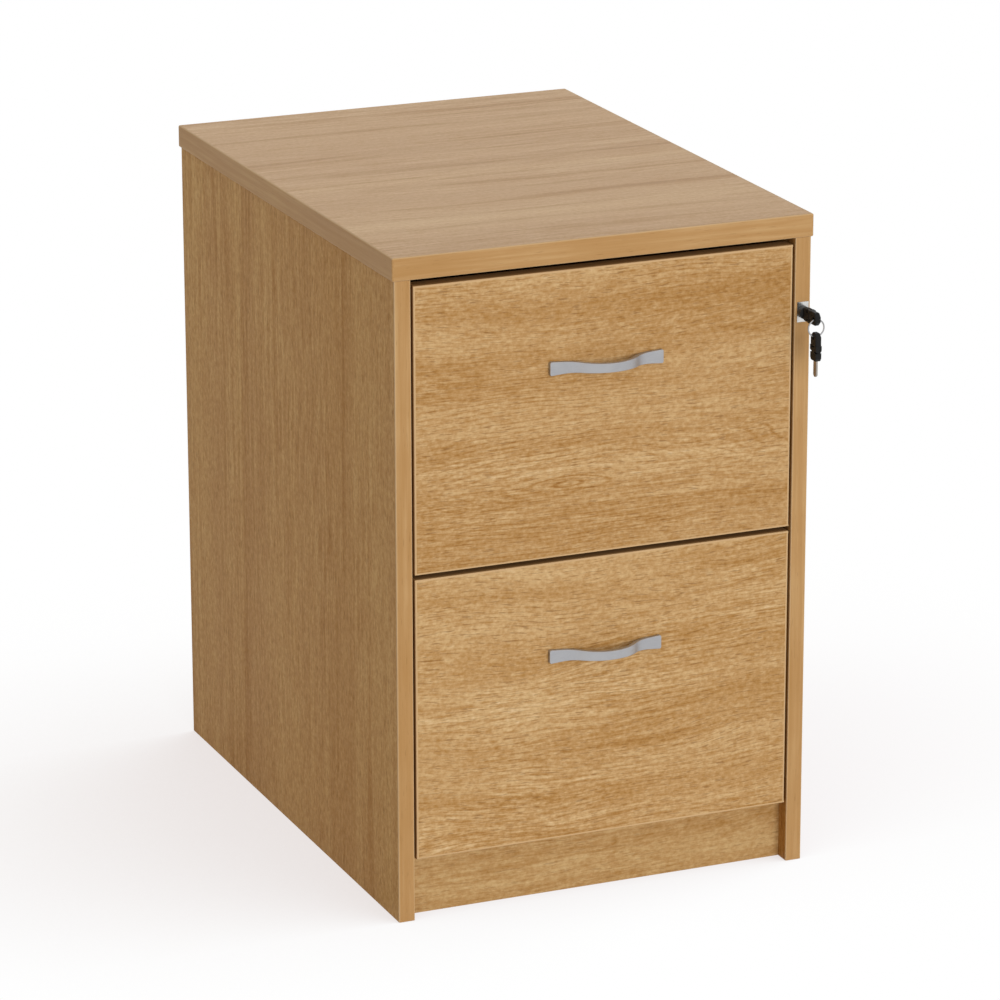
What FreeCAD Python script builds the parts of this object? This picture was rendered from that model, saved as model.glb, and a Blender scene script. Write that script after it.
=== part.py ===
import FreeCAD, Part
import math
import os
import re
import Sketcher

# Two-drawer filing cabinet of oak-faced board, in millimetres.
# X runs to the right, Y to the back, Z up; the origin is the bottom centre of the overall box.

SIZES = {
    # outside of the cabinet
    "overall_width": 480,
    "overall_depth": 655,
    "overall_height": 730,
    "top_thickness": 25,
    "board": 18,
    "edging": 2,
    "side_overhang": 2.5,
    "front_overhang": 1,
    "back_overhang": 3,
    "top_round": 1.8,
    "strip_round": 1,
    "plinth_height": 80,
    # gaps round the drawer fronts
    "plinth_reveal": 68.5,
    "front_gap": 5.3,
    "top_gap": 7.2,
    "side_gap": 3,
    "front_setback": 0.5,
    "plinth_clearance": 0.5,
    # drawer box
    "box_board": 12,
    "box_rise": 20,
    "box_drop": 42,
    "rear_space": 26.5,
    "base_thickness": 6,
    "base_rise": 8,
    "groove_depth": 5,
    "groove_clearance": 0.1,
    # rails that hanging files ride on
    "rail_sheet": 1,
    "rail_leg": 12,
    "rail_lip": 12,
    # ball-bearing runners
    "runner_height": 45.7,
    "runner_thickness": 12.7,
    "runner_sheet": 1.2,
    "runner_rise": 80,
    "runner_setback": 48,
    "runner_end": 8.5,
    "runner_lip": 1,
    "flange_short": 2.3,
    "ball_radius": 2.25,
    "ball_hole": 0.15,
    "race_clearance": 0.06,
    "cage_sheet": 0.3,
    "cage_leg": 0.8,
    "cage_gap": 0.25,
    "cage_short": 30,
    "lip_clearance": 0.4,
    # bow handle
    "handle_length": 130,
    "handle_foot": 14,
    "handle_projection": 25,
    "handle_thickness": 5,
    "handle_height": 15.5,
    "handle_waist": 10,
    "handle_drop": 104,
    "handle_bend": 30,
    "handle_round": 0.8,
    "handle_corner": 2,
    # lock in the front edge of the right side
    "lock_drop": 81.5,
    "lock_offset": 0.5,
    "housing_width": 13.4,
    "housing_height": 22,
    "housing_depth": 28,
    "housing_proud": 0.4,
    "housing_bore": 5.5,
    "pocket_clearance": 0.1,
    "turning_clearance": 0.05,
    "collar_radius": 6.7,
    "collar_gap": 0.3,
    "cam_radius": 5.4,
    "cam_disc": 2,
    "crank_radius": 4,
    "crank_pin": 1.5,
    "crank_pin_length": 6,
    "slot_clearance": 0.25,
    "tab_clearance": 2,
    # bar that the lock lifts to hold both drawers
    "bar_thickness": 3,
    "bar_width": 15,
    "bar_clearance": 0.2,
    "bar_gap": 1.5,
    "bar_ends": 17,
    "tab_half_height": 4.5,
    "tab_thickness": 2,
    "bar_room": 2,
    "stop_pin_radius": 3,
    "stop_pin_length": 9,
    "stop_peg_radius": 2,
    "stop_drop": 48,
    "stop_gap": 1,
    "catch_sheet": 1.5,
    "catch_reach": 9.5,
    "catch_height": 14,
    "catch_length": 22,
    "guide_sheet": 1.5,
    "guide_height": 20,
    "guide_peg": 2.5,
    "guide_peg_length": 8,
    "guide_margin": 1.2,
    "crank_room": 1,
    # folding keys and their ring
    "collar_length": 7,
    "key_holder": 12.5,
    "key_bow": 18,
    "key_width": 14,
    "key_thickness": 7,
    "key_neck": 10,
    "key_round": 2,
    "key_shoulder": 3,
    "bow_corner": 4,
    "key_tongue": 6.6,
    "key_gap": 0.3,
    "key_pin_radius": 1,
    "pin_clearance": 0.03,
    "pin_inset": 0.3,
    "ring_hole": 2.5,
    "ring_hole_inset": 5,
    "blade_width": 6.5,
    "blade_thickness": 2,
    "blade_length": 18,
    "blade_root": 4,
    "blade_chamfer": 2,
    "keyway_clearance": 0.15,
    "keyway_spare": 2,
    "ring_radius": 9.2,
    "ring_wire": 0.8,
    "ring_gap": 0.3,
    # fittings that hold the boards together
    "fitting_clearance": 0.1,
    "cam_fitting_radius": 7.5,
    "cam_fitting_inset": 24,
    "cam_fitting_depth": 12.5,
    "box_cam_depth": 10,
    "bolt_radius": 3,
    "bolt_bite": 11,
    "bolt_gap": 0.3,
    "dowel_radius": 4,
    "dowel_bite": 12,
    "screw_radius": 2,
    "screw_head_radius": 4,
    "screw_head": 2,
    "back_screw_length": 35,
    "runner_screw_length": 10,
    "handle_screw_radius": 2,
    "handle_screw_head": 4,
    "handle_screw_head_height": 2.5,
    "handle_screw_bite": 4,
    "handle_screw_clearance": 0.3,
    # how far joined shapes of one piece run into each other
    "join_depth": 0.5,
}

PLACES = {
    # planes of the carcass
    "key_reach": "collar_length + key_holder + key_bow - ring_hole_inset",
    "side_depth": "overall_depth - front_overhang - back_overhang",
    "front_plane": "(key_reach + key_width / 2 - side_depth - back_overhang) / 2",
    "rear_plane": "front_plane + side_depth",
    "inner_half": "overall_width / 2 - side_overhang - board",
    "outer_half": "overall_width / 2 - side_overhang",
    "underside": "overall_height - top_thickness",
    "top_front": "front_plane - front_overhang",
    "base_bottom": "plinth_height - board",
    "back_face": "rear_plane - board",
    # drawer fronts
    "front_height": "(underside - top_gap - front_gap - plinth_reveal) / 2",
    "drawer_pitch": "front_height + front_gap",
    "front_half": "inner_half - side_gap",
    "front_face": "front_plane + front_setback",
    "front_rear": "front_face + board",
    "plinth_face": "front_rear + plinth_clearance",
    "lower_front": "plinth_reveal",
    "upper_front": "plinth_reveal + drawer_pitch",
    # drawer boxes
    "box_half": "inner_half - runner_thickness",
    "box_inner": "box_half - box_board",
    "box_height": "front_height - box_rise - box_drop",
    "box_end": "back_face - rear_space",
    "box_length": "box_end - front_rear",
    # runners, measured from the side panel inwards and up from the runner's middle
    "runner_start": "front_plane + runner_setback",
    "runner_length": "box_end - runner_end - runner_start",
    "outer_race": "runner_height / 2 - runner_sheet",
    "ball_space": "2 * ball_radius + 2 * race_clearance",
    "middle_race": "outer_race - ball_space",
    "middle_inside": "middle_race - runner_sheet",
    "inner_race": "middle_inside - ball_space",
    "outer_cage_web": "runner_sheet + cage_gap",
    "middle_web": "outer_cage_web + cage_sheet + cage_gap",
    "inner_cage_web": "middle_web + runner_sheet + cage_gap",
    "inner_flange": "inner_cage_web + cage_sheet + cage_gap",
    "flange_end": "runner_thickness - flange_short",
    "cage_end": "flange_end - runner_lip - lip_clearance",
    "outer_ball": "(outer_cage_web + cage_sheet + cage_end) / 2",
    "inner_ball": "(inner_flange + cage_end) / 2",
    "cage_length": "runner_length / 2 - cage_short / 2",
    "cage_start": "runner_start + (runner_length - cage_length) / 2",
    # handle curve
    "handle_half": "handle_length / 2 - handle_foot",
    "handle_rise": "handle_projection - handle_thickness",
    "bend_sum": "(handle_half ^ 2 + handle_rise ^ 2) / (2 * handle_rise)",
    "crest_bend": "bend_sum - handle_bend",
    "waist_sag": "(handle_height - handle_waist) / 2",
    "waist_bend": "((handle_length / 2) ^ 2 + waist_sag ^ 2) / (2 * waist_sag)",
    "handle_hole": "handle_length / 2 - handle_foot / 2",
    # lock and locking bar
    "lock_x": "inner_half + board / 2 + lock_offset",
    "lock_z": "underside - lock_drop",
    "housing_rear": "front_plane + housing_depth",
    "crank_side": "crank_radius / sqrt(2)",
    "bar_travel": "2 * crank_side",
    "bar_front": "housing_rear + bar_gap",
    "bar_middle": "bar_front + bar_width / 2",
    "bar_face": "inner_half + bar_clearance",
    "bar_rear": "bar_face + bar_thickness",
    "tab_front": "housing_rear + cam_disc + tab_clearance",
    "tab_middle": "lock_z - crank_side",
    "stop_upper": "lock_z - stop_drop",
    "stop_lower": "stop_upper - drawer_pitch",
    "bar_bottom": "stop_lower - bar_ends",
    "bar_top": "lock_z + bar_ends",
    "catch_front": "bar_middle + stop_pin_radius + stop_gap",
    "peg_offset": "bar_width / 2 + bar_clearance + guide_margin + guide_peg",
    "guide_half": "peg_offset + guide_peg + guide_margin",
    # folding keys, measured outwards from the front edge of the side
    "key_hinge": "collar_length + key_holder",
    "knuckle": "key_thickness / 2",
    "holder_end": "key_hinge - knuckle - key_gap",
    "bow_start": "key_hinge + knuckle + key_gap",
    "bow_end": "key_hinge + key_bow",
    "ring_y": "front_plane - key_reach",
    "ring_level": "sqrt(ring_radius ^ 2 - knuckle ^ 2)",
    "ring_dip": "ring_radius - ring_level",
    "ring_rest": "ring_hole - ring_dip - ring_wire * ring_radius / ring_level - ring_gap",
    "ring_top": "lock_z - ring_rest",
    "ring_z": "ring_top - ring_radius",
    "ring_bottom": "ring_z - ring_radius",
    "spare_hole_z": "ring_bottom - ring_rest",
}

SIDES = {"left": -1, "right": 1}
DRAWERS = ("upper", "lower")

# Shares of a board's length where its fittings sit, and of an edge's room where it counts as near or far.
CAM_SHARES = (0.12, 0.88)
DOWEL_SHARES = (0.2, 0.8)
PLINTH_CAM = 0.35
PLINTH_DOWEL = 0.7
RUNNER_SCREWS = (0.08, 0.5, 0.92)
BOX_FITTINGS = (0.2, 0.8)
BALLS = 6
NEAR = 0.1
FAR = 1 - NEAR
TOUCH = 0.01

AXIS_TURN = {
    "x": FreeCAD.Rotation(FreeCAD.Vector(0, 1, 0), 90),
    "y": FreeCAD.Rotation(FreeCAD.Vector(1, 0, 0), -90),
    "z": FreeCAD.Rotation(),
    "-x": FreeCAD.Rotation(FreeCAD.Vector(0, 1, 0), -90),
    "-y": FreeCAD.Rotation(FreeCAD.Vector(1, 0, 0), 90),
}

doc = FreeCAD.newDocument("filing_cabinet")
nodes = []


def fill_sheet(name, cells, formula):
    sheet = doc.addObject("Spreadsheet::Sheet", name)
    for row, (alias, value) in enumerate(cells.items(), 1):
        sheet.set(f"A{row}", alias)
        sheet.set(f"B{row}", "=" + full(value) if formula else str(value))
        sheet.setAlias(f"B{row}", alias)
    doc.recompute()
    return sheet


def full(text):
    """Puts the sheet's name before each size in an expression."""
    def named(found):
        word = found.group()
        if word in SIZES:
            return "sizes." + word
        if word in PLACES:
            return "places." + word
        return word
    return re.sub(r"[a-z_]+", named, str(text))


def number(text):
    return float(places.evalExpression(full(text)))


def bind(thing, **sizes):
    for prop, text in sizes.items():
        thing.setExpression(prop, full(text))


def place(thing, at, turn=None):
    if turn is not None:
        thing.Placement = FreeCAD.Placement(FreeCAD.Vector(), turn)
    for axis, text in zip("xyz", at):
        thing.setExpression("Placement.Base." + axis, full(text))
    return thing


def keep(thing, label):
    """Marks a finished sub-part for its own file."""
    thing.Label = label
    nodes.append(thing)
    return thing


def box(size, at):
    thing = doc.addObject("Part::Box", "block")
    bind(thing, Length=size[0], Width=size[1], Height=size[2])
    return place(thing, at)


def rod(radius, length, at, axis):
    thing = doc.addObject("Part::Cylinder", "rod")
    bind(thing, Radius=radius, Height=length)
    return place(thing, at, AXIS_TURN[axis])


def cone(start, end, length, at, axis):
    thing = doc.addObject("Part::Cone", "cone")
    bind(thing, Radius1=start, Radius2=end, Height=length)
    return place(thing, at, AXIS_TURN[axis])


def ball(radius, at):
    thing = doc.addObject("Part::Sphere", "ball")
    bind(thing, Radius=radius)
    return place(thing, at)


def group(things):
    thing = doc.addObject("Part::Compound", "group")
    thing.Links = things
    return thing


def fuse(things):
    thing = doc.addObject("Part::MultiFuse", "joined")
    thing.Shapes = things
    return thing


def cut(base, tools):
    thing = doc.addObject("Part::Cut", "cut")
    thing.Base = base
    thing.Tool = tools[0] if len(tools) == 1 else group(tools)
    return thing


def origin_plane(body, role):
    for feature in body.Origin.OriginFeatures:
        if feature.Role == role:
            return feature


def new_sketch(body, role):
    sketch = body.newObject("Sketcher::SketchObject", "outline")
    sketch.AttachmentSupport = [(origin_plane(body, role), "")]
    sketch.MapMode = "FlatFace"
    return sketch


def fix_point(sketch, geometry, end, at):
    """Holds one point of a sketch at two sizes from the origin."""
    for kind, text in zip(("DistanceX", "DistanceY"), at):
        index = sketch.addConstraint(Sketcher.Constraint(kind, -1, 1, geometry, end, number(text)))
        sketch.setExpression(f"Constraints[{index}]", full(text))


def fix_radius(sketch, geometry, text):
    index = sketch.addConstraint(Sketcher.Constraint("Radius", geometry, number(text)))
    sketch.setExpression(f"Constraints[{index}]", full(text))


def draw_outline(sketch, points):
    corners = [FreeCAD.Vector(number(a), number(b), 0) for a, b in points]
    count = len(corners)
    for i in range(count):
        sketch.addGeometry(Part.LineSegment(corners[i], corners[(i + 1) % count]), False)
    for i in range(count):
        sketch.addConstraint(Sketcher.Constraint("Coincident", i, 2, (i + 1) % count, 1))
    for i in range(count):
        fix_point(sketch, i, 1, points[i])


def pad(body, sketch, length, backwards=False):
    feature = body.newObject("PartDesign::Pad", "pad")
    feature.Profile = sketch
    bind(feature, Length=length)
    feature.Reversed = backwards
    body.Tip = feature
    return feature


def prism(role, points, length, at, backwards=False):
    """A body padded from an outline on one of its origin planes."""
    body = doc.addObject("PartDesign::Body", "body")
    sketch = new_sketch(body, role)
    draw_outline(sketch, points)
    pad(body, sketch, length, backwards)
    doc.recompute()
    return place(body, at)


def round_edges(body, radius, wanted):
    """Rounds the edges of the body's tip whose middle the test picks."""
    tip = body.Tip
    names = []
    for i, edge in enumerate(tip.Shape.Edges, 1):
        middle = edge.valueAt((edge.FirstParameter + edge.LastParameter) / 2)
        if wanted(edge, middle):
            names.append(f"Edge{i}")
    feature = body.newObject("PartDesign::Fillet", "rounding")
    feature.Base = (tip, names)
    bind(feature, Radius=radius)
    body.Tip = feature
    doc.recompute()
    return body


def mirrored(sign, text):
    return f"{sign} * ({text})"


def span(sign, inner, outer):
    """The lower end of a stretch along X that lies on one side of the cabinet."""
    return inner if sign > 0 else f"-({outer})"


places = None
sizes_sheet = fill_sheet("sizes", SIZES, False)
places = fill_sheet("places", PLACES, True)


# Carcass fittings: where each board joint has its cams, bolts and dowels.

carcass_cams = []
carcass_dowels = []
holes = {name: [] for name in ("top", "left", "right", "base", "plinth", "back")}


def cam_fitting(cam_board, bolt_board, cam_at, cam_axis, bolt_at, bolt_axis):
    """A cam sunk in one board, and the bolt that it draws in from the next board."""
    depth = "cam_fitting_depth"
    length = "cam_fitting_inset + bolt_bite - cam_fitting_radius - bolt_gap"
    carcass_cams.append(rod("cam_fitting_radius", depth, cam_at, cam_axis))
    carcass_cams.append(rod("bolt_radius", length, bolt_at, bolt_axis))
    for name in (cam_board, bolt_board):
        holes[name].append(rod("bolt_radius + fitting_clearance", length, bolt_at, bolt_axis))
    holes[cam_board].append(rod("cam_fitting_radius + fitting_clearance", depth, cam_at, cam_axis))


def dowel(first, second, at, axis):
    carcass_dowels.append(rod("dowel_radius", "2 * dowel_bite", at, axis))
    for name in (first, second):
        holes[name].append(rod("dowel_radius + fitting_clearance", "2 * dowel_bite", at, axis))


def fit_side(side):
    sign = SIDES[side]
    inward = "x" if sign > 0 else "-x"
    board_middle = mirrored(sign, "inner_half + board / 2")
    inner_face = mirrored(sign, "inner_half")
    cam_x = mirrored(sign, "inner_half - cam_fitting_inset")
    bolt_x = mirrored(sign, "inner_half - cam_fitting_inset + cam_fitting_radius + bolt_gap")
    dowel_x = mirrored(sign, "inner_half - dowel_bite")
    for share in CAM_SHARES:
        along = f"front_plane + side_depth * {share}"
        bolt_z = "underside - cam_fitting_inset + cam_fitting_radius + bolt_gap"
        cam_fitting(side, "top",
                    (inner_face, along, "underside - cam_fitting_inset"), inward,
                    (board_middle, along, bolt_z), "z")
        cam_fitting("base", side,
                    (cam_x, along, "base_bottom"), "z",
                    (bolt_x, along, "base_bottom + board / 2"), inward)
        up = f"underside * {share}"
        cam_fitting("back", side,
                    (cam_x, "back_face", up), "y",
                    (bolt_x, "back_face + board / 2", up), inward)
    cam_fitting("plinth", side,
                (cam_x, "plinth_face + board", f"plinth_height * {PLINTH_CAM}"), "-y",
                (bolt_x, "plinth_face + board / 2", f"plinth_height * {PLINTH_CAM}"), inward)
    for share in DOWEL_SHARES:
        along = f"front_plane + side_depth * {share}"
        dowel(side, "top", (board_middle, along, "underside - dowel_bite"), "z")
        dowel("base", side, (dowel_x, along, "base_bottom + board / 2"), inward)
        dowel("back", side, (dowel_x, "back_face + board / 2", f"underside * {share}"), inward)
    dowel("plinth", side, (dowel_x, "plinth_face + board / 2", f"plinth_height * {PLINTH_DOWEL}"), inward)


for side in SIDES:
    fit_side(side)


# Screws whose flush heads hold the fixed runner members to the side panels.

runner_screws = []
outer_screw_holes = {}


def runner_height(drawer):
    return f"{drawer}_front + box_rise + runner_rise"


def flush_screw(radius, head, head_height, length, at, axis):
    """A screw with a flush cone head that starts at the given point and runs along the axis."""
    shank = rod(radius, length, at, axis)
    top = cone(head, radius, head_height, at, axis)
    return fuse([shank, top])


for drawer in DRAWERS:
    for side, sign in SIDES.items():
        tools = []
        for share in RUNNER_SCREWS:
            at = (mirrored(sign, "inner_half - runner_sheet"),
                  f"runner_start + runner_length * {share}", runner_height(drawer))
            into = "x" if sign > 0 else "-x"
            sizes = ("screw_radius", "screw_head_radius", "runner_sheet", "runner_screw_length")
            runner_screws.append(flush_screw(*sizes, at, into))
            tools.append(flush_screw(*sizes, at, into))
            holes[side].append(rod("screw_radius", "runner_screw_length", at, into))
        outer_screw_holes[drawer, side] = tools


# Space for the lock, its bar and the bar's guides in the right side.

def lock_pocket():
    wide = "housing_width + 2 * pocket_clearance"
    tall = "housing_height + 2 * pocket_clearance"
    return box((wide, "housing_depth + edging", tall),
               ("lock_x - housing_width / 2 - pocket_clearance", "front_plane - edging",
                "lock_z - housing_height / 2 - pocket_clearance"))


GUIDES = ("lock_z - stop_drop / 2", "stop_lower + stop_drop / 2")
guides = []
holes["right"].append(lock_pocket())
holes["right"].append(box(
    ("lock_x + housing_width / 2 - inner_half", "bar_width + 2 * bar_gap", "housing_height + 2 * crank_room"),
    ("inner_half", "housing_rear", "lock_z - housing_height / 2 - crank_room")))
holes["right"].append(box(
    ("bar_thickness + 2 * bar_clearance", "bar_width + 2 * bar_clearance",
     "bar_top - bar_bottom + bar_travel + 2 * bar_room"),
    ("inner_half", "bar_front - bar_clearance", "bar_bottom - bar_room")))
for height in GUIDES:
    plate = box(("guide_sheet", "2 * guide_half", "guide_height"),
                ("inner_half - guide_sheet", "bar_middle - guide_half", f"{height} - guide_height / 2"))
    pegs = []
    for y in ("bar_middle - peg_offset", "bar_middle + peg_offset"):
        pegs.append(rod("guide_peg", "guide_peg_length", ("inner_half - join_depth", y, height), "x"))
        hole = rod("guide_peg + fitting_clearance", "guide_peg_length", ("inner_half", y, height), "x")
        holes["right"].append(hole)
    guides.append(fuse([plate] + pegs))


# Boards of the carcass.

def edge_strip(size, at, radius, free):
    """A strip of edging, rounded on its free edges; 'free' tests an edge middle from 0 to 1 each way."""
    wide, deep, tall = size
    body = prism("XY_Plane", [("0", "0"), (wide, "0"), (wide, deep), ("0", deep)], tall, at)
    whole = [number(text) for text in size]

    def wanted(edge, middle):
        return free(*(middle[i] / whole[i] for i in range(3)))
    return round_edges(body, radius, wanted)


top_core = box(("overall_width - 2 * edging", "overall_depth - 2 * edging", "top_thickness"),
               ("-overall_width / 2 + edging", "top_front + edging", "underside"))
keep(cut(top_core, holes["top"]), "top_panel")

top_strips = [
    edge_strip(("overall_width", "edging", "top_thickness"), ("-overall_width / 2", "top_front", "underside"),
               "top_round", lambda x, y, z: y < FAR),
    edge_strip(("overall_width", "edging", "top_thickness"),
               ("-overall_width / 2", "top_front + overall_depth - edging", "underside"),
               "top_round", lambda x, y, z: y > NEAR),
    edge_strip(("edging", "overall_depth - 2 * edging", "top_thickness"),
               ("-overall_width / 2", "top_front + edging", "underside"),
               "top_round", lambda x, y, z: x < NEAR < y < FAR),
    edge_strip(("edging", "overall_depth - 2 * edging", "top_thickness"),
               ("overall_width / 2 - edging", "top_front + edging", "underside"),
               "top_round", lambda x, y, z: NEAR < y < FAR < x),
]
keep(group(top_strips), "top_edging")

for side, sign in SIDES.items():
    core = box(("board", "side_depth - edging", "underside"),
               (span(sign, "inner_half", "outer_half"), "front_plane + edging", "0"))
    keep(cut(core, holes[side]), f"{side}_side")

side_strips = []
for side, sign in SIDES.items():
    strip = edge_strip(("board", "edging", "underside"),
                       (span(sign, "inner_half", "outer_half"), "front_plane", "0"),
                       "strip_round", lambda x, y, z: y < NEAR < z < FAR)
    side_strips.append(cut(strip, [lock_pocket()]) if side == "right" else strip)
keep(group(side_strips), "side_edging")

across = "2 * inner_half"
back_core = box((across, "board", "underside"), ("-inner_half", "back_face", "0"))
keep(cut(back_core, holes["back"]), "back_panel")
base_core = box((across, "back_face - plinth_face - board", "board"),
                ("-inner_half", "plinth_face + board", "base_bottom"))
keep(cut(base_core, holes["base"]), "base_panel")
plinth_core = box((across, "board", "plinth_height"), ("-inner_half", "plinth_face", "0"))
keep(cut(plinth_core, holes["plinth"]), "plinth")
keep(group(carcass_cams), "carcass_cams")
keep(group(carcass_dowels), "carcass_dowels")
keep(group(runner_screws), "runner_screws")


# Runners: fixed, middle and drawer members with ball cages between them.

def channel(sign, web_start, web_end, tip, outside, inside, lip=False):
    """The outline of a channel, given across from the side panel and up from its middle."""
    if lip:
        turned = f"{tip} - runner_lip"
        lip_end = f"{inside} - runner_lip"
        end = [(tip, lip_end), (turned, lip_end), (turned, inside)]
    else:
        end = [(tip, inside)]
    upper = [(web_start, outside), (tip, outside)] + end + [(web_end, inside)]
    lower = [(a, f"-({b})") for a, b in reversed(upper)]
    return [(mirrored(sign, f"inner_half - ({a})"), b) for a, b in upper + lower]


def runner_member(drawer, outline):
    return prism("XZ_Plane", outline, "runner_length", ("0", "runner_start", runner_height(drawer)), True)


def ball_cage(sign, drawer, web, leg_middle, ball_x):
    """A folded strip with a row of balls above and below."""
    top = f"{leg_middle} + cage_leg / 2"
    under = f"{leg_middle} - cage_leg / 2"
    points = [(web, top), (web, f"-({top})"), ("cage_end", f"-({top})"), ("cage_end", f"-({under})"),
              (f"{web} + cage_sheet", f"-({under})"), (f"{web} + cage_sheet", under), ("cage_end", under),
              ("cage_end", top)]
    outline = [(mirrored(sign, f"inner_half - ({a})"), b) for a, b in points]
    strip = prism("XZ_Plane", outline, "cage_length", ("0", "cage_start", runner_height(drawer)), True)
    balls = []
    seats = []
    for i in range(BALLS):
        for way in (-1, 1):
            at = [mirrored(sign, f"inner_half - ({ball_x})"),
                  f"cage_start + cage_length * {(i + 0.5) / BALLS}",
                  f"{runner_height(drawer)} + {way} * ({leg_middle})"]
            balls.append(ball("ball_radius", at))
            seat_at = at[:2] + [f"{at[2]} - cage_leg"]
            seats.append(rod("ball_radius + ball_hole", "2 * cage_leg", seat_at, "z"))
    return [cut(strip, seats)] + balls


inner_screws = {drawer: [] for drawer in DRAWERS}
side_holes = {(drawer, side): [] for drawer in DRAWERS for side in SIDES}
for drawer in DRAWERS:
    outers = []
    middles = []
    inners = []
    outer_cages = []
    inner_cages = []
    for side, sign in SIDES.items():
        outer = channel(sign, "0", "runner_sheet", "flange_end", "runner_height / 2", "outer_race", True)
        outers.append(cut(runner_member(drawer, outer), outer_screw_holes[drawer, side]))
        middle = channel(sign, "middle_web", "middle_web + runner_sheet", "flange_end",
                         "middle_race", "middle_inside")
        middles.append(runner_member(drawer, middle))
        inner = channel(sign, "runner_thickness", "runner_thickness - runner_sheet", "inner_flange",
                        "inner_race", "inner_race - runner_sheet")
        tools = []
        for share in RUNNER_SCREWS:
            at = (mirrored(sign, "box_half + runner_sheet"),
                  f"runner_start + runner_length * {share}", runner_height(drawer))
            into = "-x" if sign > 0 else "x"
            sizes = ("screw_radius", "screw_head_radius", "runner_sheet", "runner_screw_length")
            inner_screws[drawer].append(flush_screw(*sizes, at, into))
            tools.append(flush_screw(*sizes, at, into))
            side_holes[drawer, side].append(rod("screw_radius", "runner_screw_length", at, into))
        inners.append(cut(runner_member(drawer, inner), tools))
        outer_row = "(outer_race + middle_race) / 2"
        inner_row = "(middle_inside + inner_race) / 2"
        outer_cages += ball_cage(sign, drawer, "outer_cage_web", outer_row, "outer_ball")
        inner_cages += ball_cage(sign, drawer, "inner_cage_web", inner_row, "inner_ball")
    keep(group(outers), f"{drawer}_runner_outers")
    keep(group(middles), f"{drawer}_runner_middles")
    keep(group(inners), f"{drawer}_runner_inners")
    keep(group(outer_cages), f"{drawer}_outer_ball_cages")
    keep(group(inner_cages), f"{drawer}_inner_ball_cages")


# Handle: a bow of even thickness, waisted in its middle.

def bow_handle(at):
    body = doc.addObject("PartDesign::Body", "body")
    sketch = new_sketch(body, "XY_Plane")
    half = number("handle_length / 2")
    bend_x = number("handle_half")
    thick = number("handle_thickness")
    foot_bend = number("handle_bend")
    crest = number("crest_bend")
    crest_y = -(thick / 2 + number("handle_rise")) + crest
    foot_y = -thick / 2 - foot_bend
    turn = math.asin(bend_x / (foot_bend + crest))
    straight_up = math.pi / 2

    def line(start, end):
        return sketch.addGeometry(Part.LineSegment(FreeCAD.Vector(*start, 0), FreeCAD.Vector(*end, 0)), False)

    def arc(middle, radius, start, end):
        circle = Part.Circle(FreeCAD.Vector(*middle, 0), FreeCAD.Vector(0, 0, 1), radius)
        return sketch.addGeometry(Part.ArcOfCircle(circle, start, end), False)

    def row(level, grow):
        """One long side of the bow: foot, bend, crest, bend, foot, from left to right."""
        first = line((-half, level), (-bend_x, level))
        left = arc((-bend_x, foot_y), foot_bend + grow, straight_up - turn, straight_up)
        middle = arc((0, crest_y), crest - grow, -straight_up - turn, -straight_up + turn)
        right = arc((bend_x, foot_y), foot_bend + grow, straight_up, straight_up + turn)
        last = line((bend_x, level), (half, level))
        sketch.addConstraint(Sketcher.Constraint("Tangent", first, 2, left, 2))
        sketch.addConstraint(Sketcher.Constraint("Tangent", left, 1, middle, 1))
        sketch.addConstraint(Sketcher.Constraint("Tangent", middle, 2, right, 2))
        sketch.addConstraint(Sketcher.Constraint("Tangent", right, 1, last, 1))
        return first, left, middle, right, last

    near = row(0, thick / 2)
    far = row(-thick, -thick / 2)
    ends = [line((-half, 0), (-half, -thick)), line((half, 0), (half, -thick))]
    sketch.addConstraint(Sketcher.Constraint("Coincident", ends[0], 1, near[0], 1))
    sketch.addConstraint(Sketcher.Constraint("Coincident", ends[0], 2, far[0], 1))
    sketch.addConstraint(Sketcher.Constraint("Coincident", ends[1], 1, near[4], 2))
    sketch.addConstraint(Sketcher.Constraint("Coincident", ends[1], 2, far[4], 2))
    for side, level, grow in ((near, "0", 1), (far, "-handle_thickness", -1)):
        fix_point(sketch, side[0], 1, ("-handle_length / 2", level))
        fix_point(sketch, side[0], 2, ("-handle_half", level))
        fix_point(sketch, side[4], 1, ("handle_half", level))
        fix_point(sketch, side[4], 2, ("handle_length / 2", level))
        for bend in (side[1], side[3]):
            fix_radius(sketch, bend, f"handle_bend + {grow} * handle_thickness / 2")
        fix_radius(sketch, side[2], f"crest_bend - {grow} * handle_thickness / 2")
    pad(body, sketch, "handle_height")
    doc.recompute()
    for way in (1, -1):
        waist = new_sketch(body, "XZ_Plane")
        centre = f"handle_height / 2 + {way} * (handle_waist / 2 + waist_bend)"
        middle = FreeCAD.Vector(0, number(centre), 0)
        circle = Part.Circle(middle, FreeCAD.Vector(0, 0, 1), number("waist_bend"))
        index = waist.addGeometry(circle, False)
        fix_point(waist, index, 3, ("0", centre))
        fix_radius(waist, index, "waist_bend")
        pocket = body.newObject("PartDesign::Pocket", "waist")
        pocket.Profile = waist
        bind(pocket, Length="2 * handle_projection")
        pocket.Reversed = True
        body.Tip = pocket
        doc.recompute()

    def runs_deep(edge):
        first = edge.Vertexes[0].Point
        last = edge.Vertexes[-1].Point
        return abs(first.x - last.x) < TOUCH and abs(first.z - last.z) < TOUCH

    wall_side = -number("handle_thickness") * NEAR
    round_edges(body, "handle_corner", lambda edge, middle: runs_deep(edge))
    round_edges(body, "handle_round", lambda edge, middle: middle.y < wall_side and not runs_deep(edge))
    return place(body, at)


# Drawers.

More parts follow.
